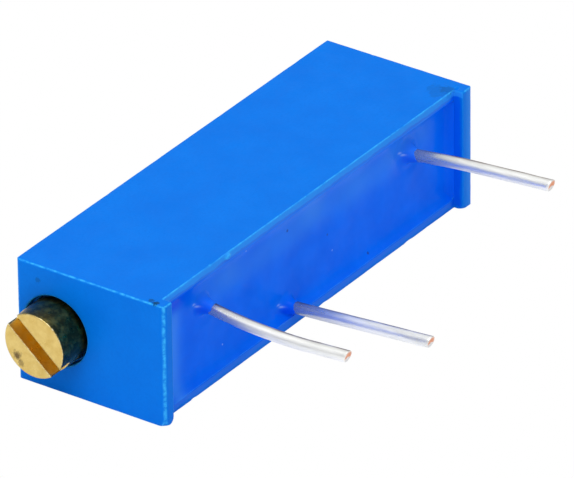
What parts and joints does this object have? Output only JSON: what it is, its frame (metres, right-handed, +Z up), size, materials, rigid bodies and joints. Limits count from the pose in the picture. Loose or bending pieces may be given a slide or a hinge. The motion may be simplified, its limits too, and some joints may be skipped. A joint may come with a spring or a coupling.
{
  "type": "multi-turn trimmer potentiometer",
  "caption": "Rectangular blue trimmer potentiometer with a slotted brass adjusting screw in one end and wire pins on one side, lying flat.",
  "frame": {"origin": "centre of the long side face that the part lies on", "axes": "+X along the screw, away from its slotted head; -Y the way the pins point; +Z up from the rest face"},
  "size_m": [0.0203, 0.0119, 0.0048],
  "materials": {
    "housing_plastic": "moulded blue thermoset, satin",
    "potting_resin": "glossy violet-blue epoxy",
    "screw_brass": "turned and slotted, slightly tarnished",
    "seal_rubber": "black moulded",
    "clip_steel": "stamped sheet",
    "carriage_plastic": "natural moulded",
    "contact_alloy": "bright spring alloy",
    "ceramic": "fired alumina",
    "resistor_ink": "fired resistive glaze",
    "conductor_ink": "fired silver conductor",
    "tinned_copper": "tinned wire, bare copper at the cut tips",
    "solder": "reflowed"
  },
  "bodies": {
    "base": {"housing": "housing_plastic", "potting": "potting_resin", "screw_retainer": "clip_steel", "ceramic_substrate": "ceramic", "resistive_track": "resistor_ink", "collector_track": "conductor_ink", "end_pad_1": "conductor_ink", "end_pad_3": "conductor_ink", "terminal_pin_1": "tinned_copper", "terminal_pin_2": "tinned_copper", "terminal_pin_3": "tinned_copper", "solder_joint_1": "solder", "solder_joint_2": "solder", "solder_joint_3": "solder"},
    "screw": {"lead_screw": "screw_brass", "o_ring": "seal_rubber"},
    "slider": {"carriage": "carriage_plastic", "wiper": "contact_alloy"}
  },
  "joints": [
    {"name": "screw_turn", "type": "hinge", "parent": "base", "child": "screw", "pos_m": [-0.00953, 0.0015, 0.00242], "axis": [1, 0, 0], "range_deg": [-2700, 2700]},
    {"name": "carriage_travel", "type": "slide", "parent": "base", "child": "slider", "axis": [1, 0, 0], "range_m": [-0.00571, 0.00571]}
  ],
  "couplings": [
    {"joint": "screw_turn", "follows": "carriage_travel", "rad_per_m": -8245.6}
  ]
}
